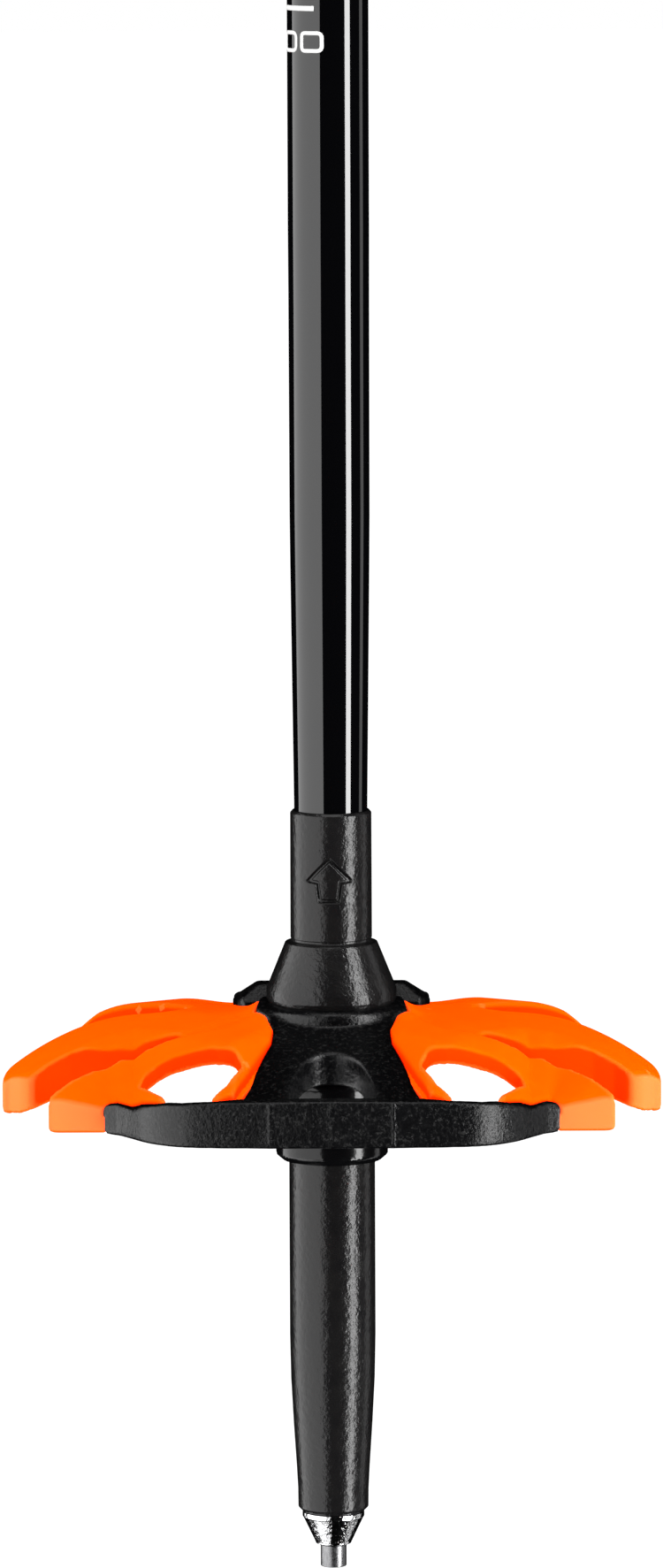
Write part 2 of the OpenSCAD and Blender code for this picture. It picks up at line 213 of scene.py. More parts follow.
def field_mesh(field, lo, hi, step):
    """Closed mesh of the places where field is negative, by surface nets settled onto the field's zero."""
    lo, hi = np.array(lo, float), np.array(hi, float)
    count = np.ceil((hi - lo) / step).astype(int) + 1
    axes = [lo[k] + step * np.arange(count[k]) for k in range(3)]
    d = field(axes[0][:, None, None], axes[1][None, :, None], axes[2][None, None, :])
    d = np.broadcast_to(d, count).astype(np.float32)
    solid = d < 0
    corners = [(a, b, c) for a in (0, 1) for b in (0, 1) for c in (0, 1)]

    def corner(v, o):
        return v[tuple(slice(o[k], count[k] - 1 + o[k]) for k in range(3))]

    filled = sum(corner(solid, o).astype(np.uint8) for o in corners)
    cells = np.argwhere((filled > 0) & (filled < 8))
    index = np.full(count - 1, -1, np.int64)
    index[tuple(cells.T)] = np.arange(len(cells))
    total, hits = np.zeros((len(cells), 3)), np.zeros(len(cells))
    for o in corners:
        for axis in range(3):
            if o[axis]:
                continue
            far = list(o)
            far[axis] = 1
            a = d[tuple((cells + o).T)]
            b = d[tuple((cells + far).T)]
            cross = (a < 0) != (b < 0)
            t = np.where(cross, a / np.where(cross, a - b, 1), 0)
            p = np.array(o) + np.eye(3)[axis] * t[:, None]
            total += np.where(cross[:, None], p, 0)
            hits += cross
    verts = lo + (cells + total / hits[:, None]) * step

    faces = []
    for axis in range(3):
        u, v = (axis + 1) % 3, (axis + 2) % 3
        cut = [slice(1, count[k] - 1) for k in range(3)]
        cut[axis] = slice(0, count[axis] - 1)
        ahead = list(cut)
        ahead[axis] = slice(1, count[axis])
        a, b = solid[tuple(cut)], solid[tuple(ahead)]
        at = np.argwhere(a != b)
        start = np.array([s.start for s in cut])
        out = a[tuple(at.T)]
        at = at + start
        eu, ev = np.eye(3, dtype=int)[u], np.eye(3, dtype=int)[v]
        quad = np.stack([index[tuple((at - q).T)] for q in (eu + ev, ev, 0 * ev, eu)], axis=1)
        faces.append(np.where(out[:, None], quad, quad[:, ::-1]))
    faces = np.vstack(faces)

    e = step * 0.1
    for _ in range(3):
        p = verts.T
        value = field(*p)
        grad = np.stack([(field(*(p + e * np.eye(3)[k][:, None])) - field(*(p - e * np.eye(3)[k][:, None])))
                         / (2 * e) for k in range(3)], axis=1)
        size = np.maximum((grad ** 2).sum(axis=1), 0.2)
        move = grad * (value / size)[:, None]
        length = np.linalg.norm(move, axis=1)[:, None]
        verts = verts - move * np.minimum(1, 0.4 * step / np.maximum(length, 1e-9))
    return verts, faces


# ---------------------------------------------------------------- material helpers

class Shader:
    """A principled material with a small set of building blocks for its nodes."""

    def __init__(self, name, **values):
        self.material = bpy.data.materials.new(name)
        self.material.use_nodes = True
        self.tree = self.material.node_tree
        self.bsdf = next(n for n in self.tree.nodes if n.type == "BSDF_PRINCIPLED")
        coords = self.tree.nodes.new("ShaderNodeTexCoord")
        self.place = coords.outputs["Object"]
        for key, value in values.items():
            self.set(key.replace("_", " "), value)

    def put(self, socket, value):
        """Links another node's output to a socket, or writes a plain value into it."""
        if isinstance(value, bpy.types.NodeSocket):
            self.tree.links.new(value, socket)
        elif isinstance(value, tuple) and len(socket.default_value) == 4:
            socket.default_value = (*value, 1.0)
        else:
            socket.default_value = value

    def set(self, key, value):
        self.put(next(s for s in self.bsdf.inputs if s.name.lower() == key.lower()), value)

    def node(self, kind, inputs=None, **settings):
        n = self.tree.nodes.new("ShaderNode" + kind)
        for key, value in settings.items():
            setattr(n, key, value)
        for key, value in (inputs or {}).items():
            self.put(n.inputs[key], value)
        return n

    def stretched(self, x, y, z):
        """Object position in millimetres, scaled along each axis."""
        scale = (x / MM, y / MM, z / MM)
        return self.node("Mapping", {"Vector": self.place, "Scale": scale}).outputs["Vector"]

    def noise(self, per_mm, detail=3.0, rough=0.55, stretch=(1, 1, 1)):
        where = self.stretched(*[per_mm * s for s in stretch])
        n = self.node("TexNoise", {"Vector": where, "Scale": 1.0, "Detail": detail, "Roughness": rough})
        return n.outputs["Fac"]

    def range(self, value, a, b, c, d):
        n = self.node("MapRange", {"Value": value, "From Min": a, "From Max": b, "To Min": c, "To Max": d})
        return n.outputs["Result"]

    def math(self, operation, a, b=0.0):
        return self.node("Math", {0: a, 1: b}, operation=operation).outputs["Value"]

    def blend(self, factor, a, b):
        """Colour between a and b. Sockets 0, 6 and 7 are a colour mix's factor and its two colours."""
        return self.node("Mix", {0: factor, 6: a, 7: b}, data_type="RGBA").outputs[2]

    def split(self, vector):
        """The x, y and z of a vector."""
        return self.node("SeparateXYZ", {"Vector": vector}).outputs

    def from_axis(self):
        """Distance from the pole's axis, in metres."""
        at = self.split(self.place)
        squares = [self.math("POWER", at[axis], 2.0) for axis in ("X", "Y")]
        return self.math("SQRT", self.math("ADD", *squares))

    def tint(self, per_mm, dark, light, detail=3.0):
        """Colour that drifts between two tones from patch to patch."""
        self.set("base color", self.blend(self.noise(per_mm, detail), dark, light))

    def rough(self, per_mm, least, most):
        """Roughness that drifts between two values from patch to patch."""
        self.set("roughness", self.range(self.noise(per_mm), 0.3, 0.7, least, most))

    def bump(self, height, depth_mm):
        normal = self.bsdf.inputs["Normal"]
        inputs = {"Height": height, "Distance": depth_mm * MM}
        if normal.links:
            inputs["Normal"] = normal.links[0].from_socket
        self.tree.links.new(self.node("Bump", inputs).outputs["Normal"], normal)


def gloss_black():
    s = Shader("tube_black_paint", base_color=(0.0004, 0.0004, 0.0005), specular_ior_level=0.0,
               coat_weight=0.5, coat_roughness=0.045)
    streaks = s.noise(4, detail=2, stretch=(1, 1, 0.02))
    s.set("roughness", s.range(streaks, 0.3, 0.7, 0.12, 0.2))
    s.bump(s.noise(0.7, detail=2), 0.004)
    return s.material


def print_white():
    s = Shader("scale_print_ink", roughness=0.45)
    s.tint(6, (0.24, 0.24, 0.238), (0.27, 0.27, 0.268))
    s.bump(s.noise(12), 0.004)
    return s.material


def tip_plastic():
    s = Shader("tip_textured_plastic", specular_ior_level=0.13)
    cloud = s.noise(0.35, detail=4)
    s.set("base color", s.blend(cloud, (0.0012, 0.0012, 0.0015), (0.003, 0.0028, 0.0026)))
    grain = s.noise(3.2, rough=0.7)
    s.set("roughness", s.range(cloud, 0.3, 0.7, 0.19, 0.26))
    s.bump(s.noise(1.2, detail=2, rough=0.6), 0.10)
    s.bump(grain, 0.02)
    return s.material


def basket_black():
    s = Shader("basket_black_plastic")
    body = s.blend(s.noise(0.5), (0.0004, 0.0004, 0.0005), (0.0012, 0.0012, 0.0013))
    grainy = s.range(s.from_axis(), 0.009, 0.011, 0, 1)
    specks = s.range(s.noise(1.5, detail=2, rough=0.8), 0.54, 0.68, 0, 1)
    s.set("base color", s.blend(s.math("MULTIPLY", specks, grainy), body, (0.0055, 0.0055, 0.0055)))
    moulded = s.range(s.noise(1.5), 0.3, 0.7, 0.18, 0.26)
    facing = s.split(s.node("NewGeometry").outputs["Normal"])["Z"]
    s.set("specular ior level", s.range(facing, 0.5, 0.9, 0.13, 0.03))
    s.set("roughness", s.range(grainy, 0, 1, 0.14, moulded))
    s.bump(s.math("MULTIPLY", s.noise(1.9, rough=0.7), grainy), 0.12)
    s.bump(s.noise(1.2, detail=2), 0.02)
    return s.material


def basket_orange():
    s = Shader("basket_orange_plastic", subsurface_weight=0.06, subsurface_scale=0.0015,
               specular_ior_level=0.0)
    body = s.blend(s.noise(0.25), (0.92, 0.037, 0.0), (0.94, 0.044, 0.0))
    geometry = s.node("NewGeometry")
    facing = s.split(geometry.outputs["Normal"])["Z"]
    upright = s.range(s.math("ABSOLUTE", facing), 0.55, 0.25, 0, 1)
    at = s.split(s.place)
    front = s.range(s.math("MULTIPLY", at["Y"], -1.0), 0.0217, 0.0222, 0, 1)
    front = s.math("MULTIPLY", front, s.range(s.math("ABSOLUTE", at["X"]), 0.0325, 0.033, 0, 1))
    rim = s.math("MAXIMUM", s.range(s.from_axis(), 0.0455, 0.0472, 0, 1), front)
    # Painted shade: upright faces away from the rim (the slot, hole and ridge walls) are darkened to a
    # deeper red.
    painted_shade_walls = s.math("MULTIPLY", upright, s.math("SUBTRACT", 1.0, rim))
    body = s.blend(s.math("MULTIPLY", painted_shade_walls, 0.9), body, (0.90, 0.012, 0.0))
    # Painted highlight: tightly rounded edges, found by pointiness, are lightened to a paler orange.
    body = s.blend(s.range(geometry.outputs["Pointiness"], 0.52, 0.58, 0, 0.6), body, (0.95, 0.075, 0.010))
    # Painted light: upright faces of the outer rim and of the petals' front face are lightened to a paler
    # orange.
    s.set("base color", s.blend(s.math("MULTIPLY", upright, rim), body, (0.95, 0.078, 0.018)))
    s.set("subsurface radius", (1.0, 0.35, 0.05))
    s.rough(1.2, 0.34, 0.44)
    s.bump(s.noise(3.5), 0.006)
    return s.material


def polished_steel():
    s = Shader("ferrule_polished_steel", metallic=1.0, base_color=(0.35, 0.35, 0.355))
    rings = s.noise(14, detail=2, stretch=(0.04, 0.04, 1))
    s.set("roughness", s.range(rings, 0.3, 0.7, 0.07, 0.16))
    s.bump(s.noise(1.6), 0.12)
    return s.material


def carbide():
    s = Shader("carbide_ground", metallic=1.0)
    streaks = s.noise(3, stretch=(1, 1, 0.3))
    s.set("base color", s.blend(streaks, (0.035, 0.035, 0.037), (0.12, 0.12, 0.122)))
    s.rough(4, 0.22, 0.42)
    s.bump(s.noise(6, stretch=(1, 1, 0.25)), 0.02)
    return s.material


def upper_paint():
    s = Shader("upper_tube_satin_paint", specular_ior_level=0.15, coat_weight=0.4, coat_roughness=0.12)
    s.tint(1.5, (0.002, 0.002, 0.0024), (0.004, 0.004, 0.0045))
    flakes = s.noise(14, detail=1)
    s.set("roughness", s.range(flakes, 0.3, 0.7, 0.28, 0.42))
    s.bump(flakes, 0.004)
    return s.material


def plastic(name, tint, rough, grain, **values):
    """A moulded plastic: tones and roughness that drift, and a fine grain of (count per mm, depth)."""
    s = Shader(name, **values)
    s.tint(*tint)
    s.rough(*rough)
    s.bump(s.noise(grain[0]), grain[1])
    return s.material


def clamp_plastic():
    tint = (0.6, (0.004, 0.004, 0.0045), (0.008, 0.008, 0.0085))
    return plastic("clamp_glass_filled_nylon", tint, (2.5, 0.38, 0.55), (7, 0.012), specular_ior_level=0.25)


def lever_orange():
    tint = (0.4, (0.90, 0.042, 0.0), (0.95, 0.056, 0.001))
    return plastic("lever_orange_nylon", tint, (3, 0.32, 0.44), (6, 0.010), specular_ior_level=0.3)


def screw_steel():
    s = Shader("zinc_plated_steel", metallic=1.0)
    s.tint(1.2, (0.42, 0.42, 0.44), (0.60, 0.60, 0.60))
    s.rough(5, 0.22, 0.38)
    s.bump(s.noise(9, detail=2), 0.006)
    return s.material


def inner_plastic():
    tint = (1, (0.025, 0.025, 0.028), (0.04, 0.04, 0.043))
    return plastic("inner_plastic_grey", tint, (3, 0.45, 0.6), (5, 0.01))


def bush_plastic():
    tint = (1, (0.36, 0.355, 0.33), (0.42, 0.415, 0.39))
    return plastic("acetal_bush", tint, (3, 0.35, 0.5), (5, 0.01), subsurface_weight=0.1,
                   subsurface_scale=0.001)


def foam():
    s = Shader("eva_foam", specular_ior_level=0.12, roughness=0.92)
    s.tint(0.8, (0.004, 0.004, 0.0045), (0.009, 0.009, 0.0095), detail=6)
    cells = s.node("TexVoronoi", {"Vector": s.stretched(3.2, 3.2, 3.2), "Scale": 1.0}).outputs["Distance"]
    s.bump(cells, 0.10)
    s.bump(s.noise(1.2, detail=4), 0.08)
    return s.material


def grip_soft():
    s = Shader("grip_soft_rubber", specular_ior_level=0.18)
    s.tint(0.6, (0.004, 0.004, 0.0045), (0.008, 0.008, 0.0085), detail=5)
    s.rough(2, 0.60, 0.76)
    s.bump(s.noise(5, detail=4), 0.02)
    return s.material


def grip_hard():
    tint = (0.5, (0.003, 0.003, 0.0034), (0.006, 0.006, 0.0064))
    return plastic("grip_hard_plastic", tint, (2.5, 0.30, 0.42), (6, 0.010), specular_ior_level=0.25)


def weave(s, across, along, depth):
    """Bump of crossing threads, with counts per millimetre."""
    at = s.split(s.place)
    warp = s.math("SINE", s.math("MULTIPLY", at["X"], across * 2 * math.pi / MM))
    weft = s.math("SINE", s.math("MULTIPLY", s.math("ADD", at["Z"], at["Y"]), along * 2 * math.pi / MM))
    cloth = s.math("MULTIPLY", warp, weft)
    s.bump(s.range(cloth, -1, 1, 0, 1), depth)
    return cloth


def webbing():
    s = Shader("nylon_webbing", sheen_weight=0.05, specular_ior_level=0.15)
    cloth = weave(s, 0.55, 0.7, 0.22)
    s.set("base color", s.blend(s.range(cloth, -1, 1, 0, 1), (0.003, 0.003, 0.0034), (0.012, 0.012, 0.013)))
    s.rough(4, 0.6, 0.8)
    s.bump(s.noise(9, stretch=(1, 0.3, 0.3)), 0.03)
    return s.material


def pad_fabric():
    s = Shader("strap_lining_fabric", sheen_weight=0.1, specular_ior_level=0.1)
    cloth = weave(s, 1.1, 1.1, 0.12)
    s.set("base color", s.blend(s.range(cloth, -1, 1, 0, 1), (0.008, 0.008, 0.009), (0.018, 0.018, 0.020)))
    s.rough(3, 0.75, 0.92)
    s.bump(s.noise(4, detail=5), 0.04)
    return s.material


# ---------------------------------------------------------------- lower section

def lower_tube():
    hole = bore("lower_tube")
    rows = [(hole, box("lower_tube")[0][2])] + profile("lower_tube")
    rows.append((hole, rows[-1][1]))
    verts, faces = lathe(fillet(rows, 0.3), turn(160), hollow=True)
    new_piece("lower_tube_shell", verts, faces, gloss_black(), "lower_section", ["lower_tube"])


DIGITS = {
    "0": [[(0, 0.5), (0, 1), (1, 1), (1, 0), (0, 0), (0, 0.5)]],
    "1": [[(0.25, 0.75), (0.6, 1), (0.6, 0)]],
    "2": [[(0, 1), (1, 1), (1, 0.5), (0, 0.5), (0, 0), (1, 0)]],
    "3": [[(0, 1), (1, 1), (1, 0), (0, 0)], [(0.3, 0.5), (1, 0.5)]],
    "4": [[(0, 1), (0, 0.4), (1, 0.4)], [(0.75, 1), (0.75, 0)]],
    "5": [[(1, 1), (0, 1), (0, 0.55), (1, 0.55), (1, 0), (0, 0)]],
}


def stroke(points, width):
    """Left and right edges of a line of (u, v) points, with rounded corners."""
    pts = even(fillet(points, 0.75, steps=8), 0.2)[0]
    ahead = np.gradient(pts, axis=0)
    if np.allclose(pts[0], pts[-1]):
        ahead[0] = ahead[-1] = pts[1] - pts[-2]
    ahead /= np.linalg.norm(ahead, axis=1)[:, None]
    side = np.stack([-ahead[:, 1], ahead[:, 0]], axis=1) * width / 2
    return pts + side, pts - side


def scale_print():
    """Printed length marks: a line and three digits every 50 mm, laid round the tube."""
    radius = profile("lower_tube")[-1][0]
    first, pitch, count = 233.6, 50.0, 9
    lowest, unit = 100, 5
    height, width, step, below, weight = 2.6, 3.25, 4.4, 6.2, 0.57
    right = -0.100 * radius
    line_from, line_to, line_weight = -1.72 * radius, -0.35 * radius, 0.75
    lift, sink = 0.035, 0.03
    verts, faces = [], []

    def ribbon(points, weight):
        left_edge, right_edge = stroke(points, weight)
        base, n = len(verts), len(left_edge)
        for (ul, vl), (ur, vr) in zip(left_edge, right_edge):
            for u, v, r in ((ul, vl, lift), (ur, vr, lift), (ur, vr, -sink), (ul, vl, -sink)):
                a = u / radius
                verts.append(((radius + r) * math.sin(a), -(radius + r) * math.cos(a), v))
        for i in range(n - 1):
            for c in range(4):
                p, q = base + 4 * i + c, base + 4 * i + (c + 1) % 4
                faces.append((p, p + 4, q + 4, q))
        faces.append([base + c for c in range(4)])
        faces.append([base + 4 * (n - 1) + c for c in (3, 2, 1, 0)])

    for mark in range(count):
        z = first + pitch * mark
        ribbon([(line_from, z), (line_to, z)], line_weight)
        for place, digit in enumerate(reversed(str(lowest + unit * mark))):
            u0 = right - weight / 2 - width - place * step
            for line in DIGITS[digit]:
                ribbon([(u0 + p[0] * width, z - below + p[1] * height) for p in line], weight)
    new_piece("scale_print", verts, faces, print_white(), "lower_section")


ARROW = [(0, 3.05), (-3.25, -0.1), (-1.75, -0.35), (-1.4, -3.1), (1.4, -3.1), (1.75, -0.35), (3.25, -0.1)]


def tip_body():
    lo, hi = box("tip_body")
    rows = profile("tip_body")
    sleeve = rows[-2][0]
    arrow_x, arrow_z, arrow_reach = -0.3, hi[2] - 9.9, 5
    groove, depth = 0.24, 0.42

    def dent(angle, z):
        u = np.where(angle > math.pi, angle - 2 * math.pi, angle) * sleeve
        d = np.abs(inside(u - arrow_x, z - arrow_z, ARROW))
        return depth * ramp(groove + 0.12, groove - 0.1, d) * (np.abs(z - arrow_z) < arrow_reach)

    outer = [(0.01, lo[2])] + [p for p in rows if p[1] < hi[2] - 0.01]
    outer = [p for p in outer if not 60 < p[1] < 62]
    outer += [(sleeve - 0.35, hi[2]), (5.5, hi[2]), (5.46, hi[2] - 2), (0.01, hi[2] - 2)]
    outer = fillet(outer, 0.22, steps=3)
    dense = []
    for p, q in zip(outer, outer[1:]):
        step = 0.08 if abs((p[1] + q[1]) / 2 - arrow_z) < arrow_reach and p[0] > 6 else 9
        n = max(1, round(abs(q[1] - p[1]) / step))
        dense += [p + (q - p) * k / n for k in range(n)]
    dense.append(outer[-1])
    angles = np.radians(np.concatenate([np.arange(-36, 36, 0.75), np.arange(36, 324, 3)]))
    verts, faces = lathe(dense, angles, dent)
    new_piece("tip_moulding", verts, faces, tip_plastic(), "lower_section", ["tip_body"])


def ferrule_and_point():
    shown_top, dish = 8.41, 0.62
    rows = [p for p in profile("tip_ferrule") if p[1] <= shown_top]
    top = rows[-1][1]
    rows = [(0.01, rows[0][1])] + rows + [(3.2, top + 0.01), (0.01, top + 4)]
    verts, faces = lathe(fillet(rows, 0.15), turn(128))
    new_piece("ferrule_turned", verts, faces, polished_steel(), "lower_section", ["tip_ferrule"])
    r = box("carbide_tip")[1][0]
    rows = [(0.01, dish), (r - 0.72, 0.08), (r - 0.5, 0), (r, 0), (r, 3.3), (1.7, 3.32), (1.7, 6), (0.01, 6)]
    verts, faces = lathe(fillet(rows, 0.18), turn(96))
    new_piece("carbide_point", verts, faces, carbide(), "lower_section", ["carbide_tip"])


# ---------------------------------------------------------------- basket

RIM_R = box("basket_wing_right")[1][0]
RIM_Z = box("basket_wing_right")[0][2]
CROWN_Z = RIM_Z + 14.8
# Outer outline of the front band, and how thick the band is
BAND = [(0, 36.4), (8, 36.3), (17.5, 35.7), (22.8, 34.5), (26.9, 31.3), (29.9, 26.7), (33.7, 22.4)]
BAND_T = 3.4
# Where the front petals' flat outer face stands, forward of the axis
FACE_F = 22.5


def arc(a0, a1, n, r=RIM_R):
    """Points on the rim from one angle to another, in degrees from the front."""
    return [(r * math.sin(t), r * math.cos(t)) for t in np.radians(np.linspace(a0, a1, n))]


def curve(points, n=6):
    """Smooth line through the points."""
    p = np.array([points[0]] + list(points) + [points[-1]], float)
    out = []
    for a, b, c, d in zip(p, p[1:], p[2:], p[3:]):
        for t in np.arange(n) / n:
            out.append(0.5 * (2 * b + (c - a) * t + (2 * a - 5 * b + 4 * c - d) * t * t
                              + (3 * b - a - 3 * c + d) * t ** 3))
    return out + [p[-1]]


# Right half of the basket's outline, and of the same outline without the band
RIM_ARC = [(42.4, FACE_F)] + arc(64, 180, 40) + [(-20, -RIM_R)]
BAND_LINE = curve([(-8, 36.3)] + BAND[:6] + [(31.5, 24.1)])
OUTLINE = [(-20, 36.4)] + BAND_LINE[4:] + [(33.4, FACE_F)] + RIM_ARC
PETAL_EDGE = [(-20, 80), (33.6, 80), (33.6, FACE_F)] + RIM_ARC
# Where the black core ends and the orange petals begin
WEB_SIDE = [(10.5, -2), (10.9, 1), (11.3, 3.5), (9.5, 6.7), (8.6, 11), (8.9, 15.5), (10.7, 21.7),
            (12.5, 28), (14.2, 33)]
REAR_SIDE = [(13, -RIM_R - 3), (12.4, -44), (11.2, -34), (14.6, -20), (14.9, -17), (14.2, -11), (12, -6)]
BAND_LAP = 1.9
BAND_IN = [tuple(np.array(p) * (1 - BAND_LAP / math.hypot(*p))) for p in BAND[2:]]
BAND_END = [(33.6, 22.3), (33.6, 45), (-20, 45)]
CORE = [(-20, -RIM_R - 3)] + fillet(REAR_SIDE + WEB_SIDE, 1.5) + BAND_IN + BAND_END
WEB_ZONE = [(-20, -9)] + fillet([(13, -9), (12, -6)] + WEB_SIDE, 1.5) + [(17, 45), (-20, 45)]
BAND_ZONE = [(-20, 34.5), (8, 34.3)] + BAND_IN + BAND_END
# The two slots between the petals, and the hole in the front petal
SLOT_1 = fillet([(60, 27), (41.7, 22.1), (39, 19.9), (35.5, 15.8), (31.1, 13.3), (27, 13.5), (22.8, 14.7),
                 (21.6, 13.8), (23, 12.9), (28.1, 11.8), (34.1, 11.2), (38.7, 10.5), (41.9, 11.2),
                 (44.7, 12.8), (48, 4.8), (60, 1)], 1.3)
SLOT_2 = fillet([(60, -20), (43.3, -21.8), (33, -15.2), (24, -8.9), (21.4, -9.4), (21.5, -11.5),
                 (31, -20.3), (39.6, -28.6), (60, -50)], 1.5)
HOLE = fillet([(20, 34.6), (22.6, 33), (24.1, 30.6), (25.4, 27.4), (26.9, 23.6), (28.2, 21), (27.6, 19.8),
               (25.6, 19.5), (23.3, 20), (20.5, 21.4), (16.8, 23.4), (14.2, 24.2), (13.1, 25.6), (14, 28.3),
               (15.4, 31), (17.4, 33), (18.3, 34.6), (20, 34.6)], 1.2)[:-1]


def dome(rho):
    """Height of the petals' common surface at a distance from the axis."""
    out = np.maximum(0, rho - 10)
    return RIM_Z + 14.1 - 9.1 * (out / (RIM_R - 10)) ** 3.5 + 3.2 * np.exp(-out / 2.4)


def web_top(f):
    """Height of the black front web, which falls towards the band."""
    return 83.5 - 0.268 * (f - 10)


def band_top(x):
    """Height of the band's upper edge."""
    return np.interp(x, [0, 16, 24, 27.5, 29.2, 31.4, 33.6], [76.6, 76.4, 75.8, 75.0, 74.1, 74.3, 73.8])


def wing_top(x, f):
    """Height of the petals' upper surface: a dome, bevelled at the front and eased down to the core."""
    by_web = web_top(f) + 0.2 + 0.95 * np.maximum(inside(x, f, WEB_ZONE), 0)
    by_band = band_top(np.minimum(x, 33)) + 0.2 + 0.62 * np.maximum(inside(x, f, BAND_ZONE), 0)
    ease = smin(by_web, by_band, 0.8)
    near = ramp(4, 8, f)
    face = RIM_Z + 4.2 + 1.2 * ramp(33.5, 42, x) + 1.0 * (FACE_F - f) + 1.2 * np.maximum(0, 33.6 - x)
    top = dome(np.hypot(x, f))
    top = top + (smin(top, ease, 1.4) - top) * near
    top = smin(top, np.where(f > 10, face, 99), 1.2)
    behind = -0.697 * (x - 21.5) - 0.717 * (f + 11.5)
    along = 0.717 * (x - 21.5) - 0.697 * (f + 11.5)
    ridge = np.interp(along, [-4, 0, 3, 9.5, 16, 20, 24.5, 30], [0, 0.1, 0.2, 0.8, 1.7, 2.2, 2.0, 1.6])
    top = top + ridge * ramp(-2.0, -0.5, behind) * np.exp(-np.maximum(behind, 0) / 12)
    before = np.maximum(inside(x, f, SLOT_2), 0) * ramp(0.5, -0.5, behind)
    top = top - 0.8 * np.exp(-(before / 2.2) ** 2) * ramp(0.8, -0.8, behind) * ramp(-2, 3, along)
    gully = inside(x, f, [(21.6, 13.7), (17.5, 11), (13, 3.5), (13.4, 3.2), (18, 10.4)])
    top = top - 0.45 * np.exp(-(np.maximum(gully, 0) / 1.1) ** 2)
    return top - 1.3 * ramp(23, 14, x) * ramp(10, 20, -f)


def wing_field(x, y, z):
    f = -y
    skin, wall = 2.0, 1.6
    by_slot = ramp(5.0, 2.0, inside(x, f, SLOT_1)) * ramp(0, 4, f) * ramp(13.2, 13.0, f) * ramp(25, 31, x)
    skirt = 2.9 + 2.3 * by_slot
    edge = inside(x, f, OUTLINE)
    core = inside(x, f, CORE)
    top = wing_top(x, f)
    tongue = np.maximum(-0.5 - core, z - top + 1.5)
    plan = smax(edge, np.minimum(0.04 - core, tongue), 0.3)
    for cut in (SLOT_1, SLOT_2, HOLE):
        plan = smax(plan, -inside(x, f, cut), 0.8)
    rim = inside(x, f, PETAL_EDGE)
    low = RIM_Z - 0.3 - (1.05 - 0.55 * by_slot) * rim
    low = np.clip(low, RIM_Z + 0.2, np.maximum(top - skirt, RIM_Z + 0.2))
    nose = RIM_Z + np.interp(x, [35, 38.8, 44.7, 47.4], [5.2, 4.1, 1.9, 0]) * ramp(2, 8, f)
    low = np.where((x > 35) & (f < 13.1), np.maximum(low, np.minimum(nose, top - 1.8)), low)
    shell = smax(smax(plan, (z - top) * 0.9, 0.8), (low - z) * 0.9, 0.6)
    hollow = smax(plan + wall, (z - top + skin) * 0.9, 0.8)
    return smax(shell, -hollow, 0.5)


def basket_wings():
    lo = [8, -38, RIM_Z - 1]
    hi = [RIM_R + 1, RIM_R + 1, CROWN_Z + 3]
    verts, faces = field_mesh(wing_field, lo, hi, 0.42)
    paint = basket_orange()
    for side, which in ((1, "right"), (-1, "left")):
        turned = faces if side > 0 else faces[:, ::-1]
        petals = new_piece("petals_" + which, verts * [side, 1, 1], turned, paint, "basket",
                           ["basket_wing_" + which])
        petals.visible_glossy = False


# Half section of the hub, and right half of the front web's arched window
HUB = [(6.55, 62.0), (7.3, 62.0), (8.35, 62.9), (8.45, 73.7), (8.1, 74.3), (7.2, 74.6), (6.95, 75.0),
       (6.95, 77.2), (7.35, 77.6), (7.4, 80.4), (8.8, 82.0), (10.2, 83.3), (10.75, 84.3), (10.6, 85.1),
       (9.9, 85.7), (6.55, 85.7)]
# Top of the rear web, as (distance behind the axis, height)
SPINE = [(0, 83.4), (9, 84.1), (11, 86.8), (15.5, 86.6), (20, 83.3), (30, 80.7), (40, 77.4), (48, 74.6),
         (60, 70)]
WINDOW = [(6.9, 45)] + curve([(6.85, 34.5), (6.4, 30.5), (5.5, 26), (4.2, 22), (2.5, 19.9), (0.6, 19.2)]) \
    + [(-5, 19.2), (-5, 45)]


def core_field(x, y, z):
    f, x = -y, np.abs(x)
    rho = np.hypot(x, f)
    hub = inside(rho, z, HUB)
    edge = inside(x, f, OUTLINE)
    core = inside(x, f, CORE)
    shaft = 6.55 - rho

    top = web_top(f) - 0.012 * x * x * ramp(14, 30, f)
    web = smax(smax(core, z - top, 0.7), top - 2.6 - z, 0.7)
    web = smax(web, -1 - f, 0.5)
    web = smax(web, edge + 1.0, 0.5)
    arch_edge = inside(x, f, WINDOW)
    web = smax(web, -arch_edge, 0.7)
    web = smax(web, x - 15, 0.3)

    ridges = 0.14 * (np.exp(-((x - 9) / 0.22) ** 2) + np.exp(-(x / 0.22) ** 2)) * ramp(34, 35, f)
    thick = BAND_T - (BAND_T - BAND_LAP) * ramp(20, 25, x)
    band = smax(np.maximum(edge - ridges * 0.9, core), -edge - thick, 0.5)
    band = smax(band, x - 33.62, 0.15)
    band = smax(band, 18 - f, 0.2)
    band = smax(smax(band, z - band_top(x), 0.6), RIM_Z - z, 0.8)

    back = -f
    spine = np.interp(back, *zip(*SPINE))
    slope = 86.9 + (10.9 - x) * 0.8 + np.maximum(0, back - 18) * 0.6
    rear = smax(smax(core, z - spine, 0.6), z - slope, 0.35)
    low = np.where(edge > -4, RIM_Z - 0.72 * edge - 0.6, 99)
    rear = smax(rear, np.clip(low, RIM_Z, np.minimum(spine, slope) - 2.8) - z, 0.7)
    rear = smax(smax(rear, 1 - back, 0.5), edge, 0.7)
    rear = smax(rear, (10.9 - rho) * ramp(84.8, 85.6, z) - 5 * (1 - ramp(84.8, 85.6, z)), 0.4)

    lining = smax(smax(np.abs(arch_edge - 0.65) - 0.65, z - top + 0.5, 0.3), top - 5 - z, 0.4)
    lining = smax(smax(lining, 1.0 - f, 0.3), edge + 0.5, 0.3)

    body = smin(smin(smin(hub, web, 1.2), band, 0.5), rear, 0.8)
    body = smin(body, lining, 0.4)
    return smax(body, shaft, 0.2)


